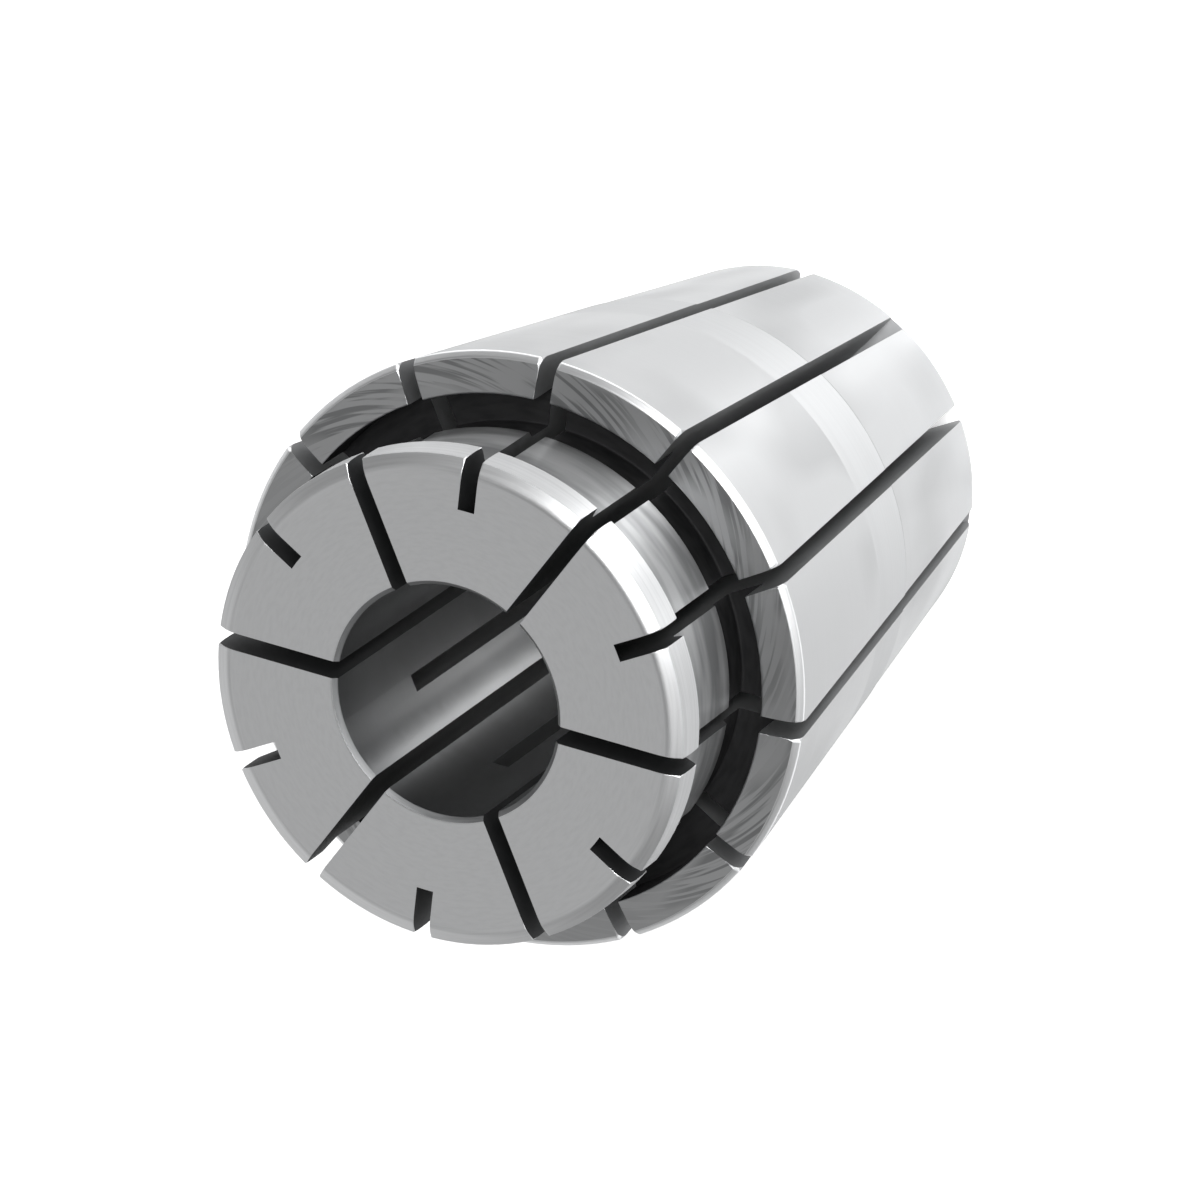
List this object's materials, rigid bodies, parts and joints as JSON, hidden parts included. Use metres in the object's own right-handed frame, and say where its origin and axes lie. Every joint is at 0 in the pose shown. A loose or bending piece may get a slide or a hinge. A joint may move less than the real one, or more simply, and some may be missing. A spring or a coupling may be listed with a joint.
{
  "type": "spring collet",
  "caption": "Tapered steel sleeve, slotted from both ends so that it closes evenly on a round tool shank when a nut draws it into its holder.",
  "frame": {"origin": "centre of the small rear face, on which the collet stands", "axes": "+Z along the bore, from the small rear end to the nose; +X through the middle of a segment, half way between two slots"},
  "size_m": [0.026, 0.026, 0.034],
  "materials": {
    "ground_spring_steel": "hardened spring steel, ground taper and nose, turned faces, dark sawn slots"
  },
  "bodies": {
    "root": {"collet": "ground_spring_steel"}
  },
  "joints": []
}
